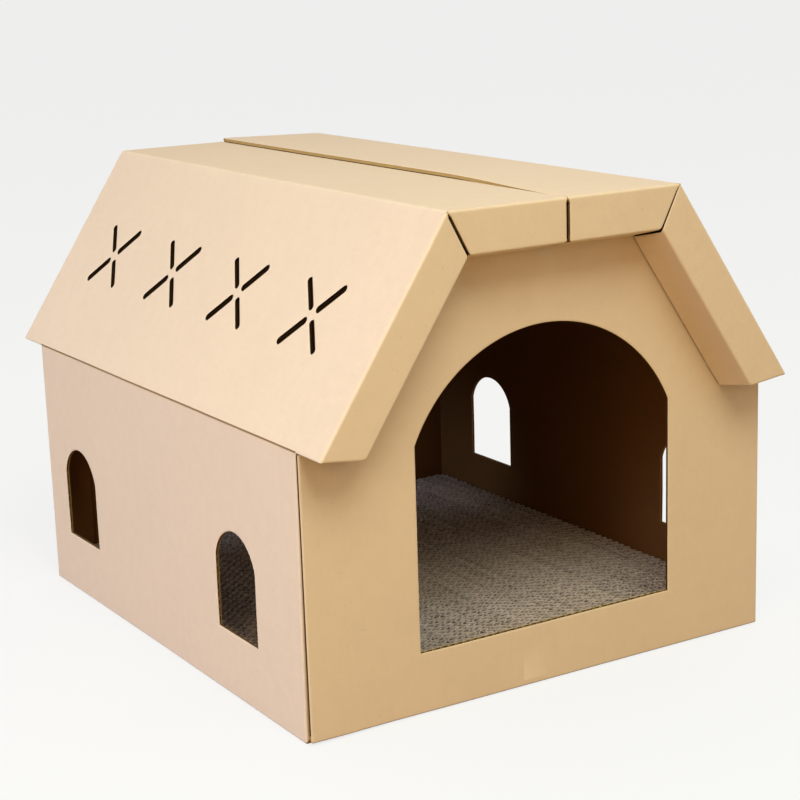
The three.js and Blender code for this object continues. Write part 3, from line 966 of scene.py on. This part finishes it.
def widen_slant_slots(panel):
    """Cuts the slots that rise towards the front a little wider."""
    for k, hole in enumerate(panel.holes):
        start, end = max(edges_of(hole), key=lambda edge: (edge[1] - edge[0]).length)
        run = panel.place(end) - panel.place(start)
        if run.y * run.z < 0:
            panel.holes[k] = inset(hole, [SLANT_SLOT_RIM] * len(hole))


def move_front_window(panel):
    """Brings the window nearest to the front wall forward."""
    def middle(hole):
        return sum(panel.place(corner).y for corner in hole) / len(hole)

    window = min(panel.holes, key=middle)
    window[:] = [panel.flat(panel.place(corner) - Y * WINDOW_FORWARD) for corner in window]


def chamfer_under_ridges(panel):
    """Takes an end wall's corners off under the upper creases, which bulge inwards as the top opens."""
    corners = []
    for i, (corner, following) in enumerate(edges_of(panel.outline)):
        place = panel.place(corner)
        if place.z < eave_height + RIDGE_CORNER or abs(abs(place.x) - top_edge) > RIDGE_CORNER:
            corners.append(corner)
            continue
        for beside in (panel.outline[i - 1], following):
            corners.append(corner + (beside - corner).normalized() * RIDGE_CHAMFER)
    panel.outline = corners


CHANGES = {
    "top": close_seam,
    "top_end_flap": straighten_seam_end,
    "slope": widen_slant_slots,
    "slope_end_flap": set_mitre,
    "slope_return_flap": shorten_return,
}

panels = {node: Panel(node, up_the_sheet(node)) for node in parents}
for node, panel in panels.items():
    kind = "_".join(word for word in node.split("_") if word not in ("left", "right", "front", "back"))
    if kind in CHANGES:
        CHANGES[kind](panel)
move_front_window(panels["right_wall"])
chamfer_under_ridges(panels["front_wall"])
chamfer_under_ridges(panels["back_wall"])
folds = {node: Fold(panels[parent], panels[node]) for node, parent in parents.items() if parent}
for panel in panels.values():
    panel.trim()

for node, panel in panels.items():
    sheet = node.split("_")[0]
    part = Part()
    add_liners(part, panel)
    add_flutes(part, panel)
    if node.endswith("_top"):
        add_crushed_core(part, panel)
    parent = parents[node]
    moving = parent is not None and body_of[parent] != body_of[node]
    if parent and not moving:
        add_fold(part, folds[node])
    piece = make_piece(f"{node}_board", part, sheet, papers_of(node), BOARD_SHARP_ANGLE)
    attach(piece, body_of[node])
    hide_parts(node)
    if moving:
        strip = Part()
        add_fold(strip, folds[node])
        name = f"{sheet}_eave_fold" if node.endswith("_slope") else f"{sheet}_ridge_fold"
        piece = make_piece(name, strip, sheet, (outer_liner, inner_liner, core_paper), BOARD_SHARP_ANGLE)
        fold = folds[node]
        middle = fold.at(sum(fold.span) / 2)
        end = middle + fold.into_child * FOLD_REACH
        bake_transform(piece)


# The pad

def add_ribbon(part, path, thickness, low, tops, tag):
    """Upright ribbon of paper along a level path, with a top edge that goes up and down."""
    path = np.array(path)
    tangent = np.gradient(path, axis=0)
    tangent /= np.linalg.norm(tangent, axis=1)[:, None]
    side = np.stack([-tangent[:, 1], tangent[:, 0]], axis=1) * thickness / 2
    left, right = path + side, path - side
    count = len(path)
    places = []
    for line, levels in ((left, tops), (right, tops), (right, [low] * count), (left, [low] * count)):
        places += [(*point, level) for point, level in zip(line, levels)]
    faces = []
    for i in range(count - 1):
        for a, b in ((0, 1), (1, 2), (2, 3), (3, 0)):
            faces.append((a * count + i, b * count + i, b * count + i + 1, a * count + i + 1))
    faces.append((0, 3 * count, 2 * count, count))
    faces.append((count - 1, 2 * count - 1, 3 * count - 1, 4 * count - 1))
    part.add(places, faces, [0] * len(faces), [(0.0, tag)] * len(places))


def add_strip(part, i, side, pitch):
    """One strip of the pad: a liner and the flutes on its right."""
    trim = random.uniform(0, PAD_TRIM)

    def wave(y, height, length, turn):
        return height * math.sin(y / length + turn * i)

    def top_at(y):
        return pad_high.z - trim - PAD_ROLL[0] - wave(y, *PAD_ROLL)

    ys = np.linspace(pad_low.y, pad_high.y, PAD_STOPS)
    path = [(side + PAD_PAPER + wave(y, *PAD_SWAY), y) for y in ys]
    add_ribbon(part, path, PAD_LINER, pad_low.z, [top_at(y) - PAD_LINER_DROP for y in ys], i + LINER_TAG)
    shift = i * PAD_SHIFT_SHARE + random.uniform(-PAD_SHIFT_SPREAD, PAD_SHIFT_SPREAD)
    middle = side + 2 * PAD_PAPER + (pitch - 2 * PAD_PAPER) / 2
    reach = (pitch - 3 * PAD_PAPER) / 2 * PAD_FILL_SHARE
    path = []
    for k in range(math.ceil((pad_high.y - pad_low.y) / PAD_FLUTE) + 2):
        wander = random.uniform(-PAD_FLUTE_SPREAD, PAD_FLUTE_SPREAD)
        for phase, swing in PAD_PHASES:
            y = pad_low.y + (k - 1 + phase + wander + shift % 1) * PAD_FLUTE
            if pad_low.y + PAD_PAPER < y < pad_high.y - PAD_PAPER:
                path.append((middle + wave(y, *PAD_SWAY) + swing * reach, y))
    levels = [top_at(y) - random.uniform(0, PAD_TORN) for _, y in path]
    add_ribbon(part, path, PAD_FLUTED_SHEET, pad_low.z + PAD_FLUTE_GAP, levels, i + FLUTE_TAG)


strips = math.floor((pad_high.x - pad_low.x) / PAD_STRIP)
pitch = (pad_high.x - pad_low.x) / strips
bundles = [Part() for _ in range(PAD_BUNDLES)]
for i in range(strips):
    add_strip(bundles[i * PAD_BUNDLES // strips], i, pad_low.x + i * pitch, pitch)
last_side = pad_high.x - PAD_LAST_LINER / 2
last_path = [(last_side, y) for y in np.linspace(pad_low.y, pad_high.y, PAD_STOPS)]
last_levels = [pad_high.z - 2 * PAD_LINER_DROP] * PAD_STOPS
add_ribbon(bundles[-1], last_path, PAD_LAST_LINER, pad_low.z, last_levels, strips + LINER_TAG)

for number, part in enumerate(bundles):
    piece = make_piece(f"scratch_pad_strips_{number + 1}", part, "pad", (strip_paper,), PAD_SHARP_ANGLE)
    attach(piece, "pad")
    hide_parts("scratch_pad")


# Floor, light and camera

FLOOR_REACH = 60.0
FLOOR_GAP = 0.2 * MM
FLOOR_BOUNCE = (0.45, 0.31, 0.15)
FLOOR_WHITE = (0.88, 0.88, 0.88)
FLOOR_SEEN = (249, 249, 250)
FLOOR_GLOW_SHARE = 0.8
WORLD_SEEN = (245, 244, 243)
SKY_ALL_ROUND = (0.34, 0.25, 0.11)
SKY = [
    ((0, 0, 1), (0.08, 0.12, 0.14)),
    ((0, -1, 0), (0.10, 0.07, 0.035)),
    ((0, 1, 0), (0.44, 0.50, 0.72)),
    ((1, 0, 0), (0.35, 0.49, 0.66)),
]
LAMP_TARGET = (0.0, 0.0, 0.15)
# Name, place, size, power and colour
LAMPS = [
    ("window", (-2.4, 0.0, 0.32), 0.9, 33.5, (0.55, 0.73, 1.0)),
    ("ceiling", (-0.38, -1.4, 2.05), 1.3, 31.0, (0.93, 1.0, 0.74)),
    ("key", (-1.1, -0.9, 0.7), 0.6, 3.3, (1.0, 0.76, 0.50)),
]
CAMERA_PLACE = (-0.77951, -1.07635, 0.53410)  # counted from the middle of the front wall's foot
CAMERA_AZIMUTH, CAMERA_ELEVATION, CAMERA_ROLL = 31.497, 13.596, -1.860
CAMERA_SENSOR, CAMERA_LENS = 36.0, 87.06


def add_floor():
    """White floor that keeps the house's shadow. It throws less light up at the house than it shows to the
    camera, and warmer light, as the real room does."""
    shader = Shader(bpy.data.materials.new("floor_white"))
    camera_ray = shader.node("LightPath")["Is Camera Ray"]
    colour = shader.mixed(camera_ray, (*FLOOR_BOUNCE, 1), (*FLOOR_WHITE, 1))
    diffuse = shader.node("BsdfDiffuse", Color=colour)[0]
    glow = shader.node("Emission", Color=srgb(*FLOOR_SEEN), Strength=1.0)[0]
    factor = shader.product(camera_ray, FLOOR_GLOW_SHARE)
    mesh = bpy.data.meshes.new("floor")
    corners = [(x * FLOOR_REACH, y * FLOOR_REACH, 0) for x, y in ((-1, -1), (1, -1), (1, 1), (-1, 1))]
    mesh.from_pydata(corners, [], [(0, 1, 2, 3)])
    mesh.materials.append(shader.finish(shader.blended(factor, diffuse, glow)))
    floor = add_object("floor", mesh)
    floor.location.z = -FLOOR_GAP


def add_world():
    """Warm light from all round, with cooler light from above, from behind and from the right."""
    world = bpy.data.worlds.new("studio")
    bpy.context.scene.world = world
    shader = Shader(world, "OutputWorld")
    direction = shader.node("TexCoord")["Generated"]
    total = SKY_ALL_ROUND
    for towards, colour in SKY:
        share = shader.vectors("DOT_PRODUCT", direction, towards)["Value"]
        tinted = shader.vectors("SCALE", colour, Scale=shader.maths("MAXIMUM", share, 0.0))[0]
        total = shader.vectors("ADD", total, tinted)[0]
    light = shader.node("Background", None, total)[0]
    seen = shader.node("Background", None, srgb(*WORLD_SEEN))[0]
    camera_ray = shader.node("LightPath")["Is Camera Ray"]
    shader.finish(shader.blended(camera_ray, light, seen))


def add_lamps():
    for name, place, size, power, colour in LAMPS:
        data = bpy.data.lights.new(name, "AREA")
        data.shape = "DISK"
        data.size = size
        data.energy = power
        data.color = colour
        lamp = add_object(name, data)
        lamp.location = place
        lamp.rotation_euler = (Vector(LAMP_TARGET) - Vector(place)).to_track_quat("-Z", "Y").to_euler()


def add_camera():
    """The photograph's viewpoint, fitted to the corners of the house."""
    azimuth, elevation, roll = map(math.radians, (CAMERA_AZIMUTH, CAMERA_ELEVATION, CAMERA_ROLL))
    place = Vector(CAMERA_PLACE)
    place.y = front_face + CAMERA_PLACE[1]
    level_ahead = Vector((math.sin(azimuth), math.cos(azimuth), 0))
    ahead = level_ahead * math.cos(elevation) - Z * math.sin(elevation)
    level = Vector((math.cos(azimuth), -math.sin(azimuth), 0))
    upright = level.cross(ahead)
    right = level * math.cos(roll) + upright * math.sin(roll)
    up = upright * math.cos(roll) - level * math.sin(roll)
    data = bpy.data.cameras.new("camera")
    data.sensor_width = CAMERA_SENSOR
    data.lens = CAMERA_LENS
    camera = add_object("camera", data)
    turn = Matrix((right, up, -ahead)).transposed().to_4x4()
    camera.matrix_world = Matrix.Translation(place) @ turn
    bpy.context.scene.camera = camera


add_floor()
add_world()
add_lamps()
add_camera()
bpy.context.scene.view_settings.view_transform = "Standard"
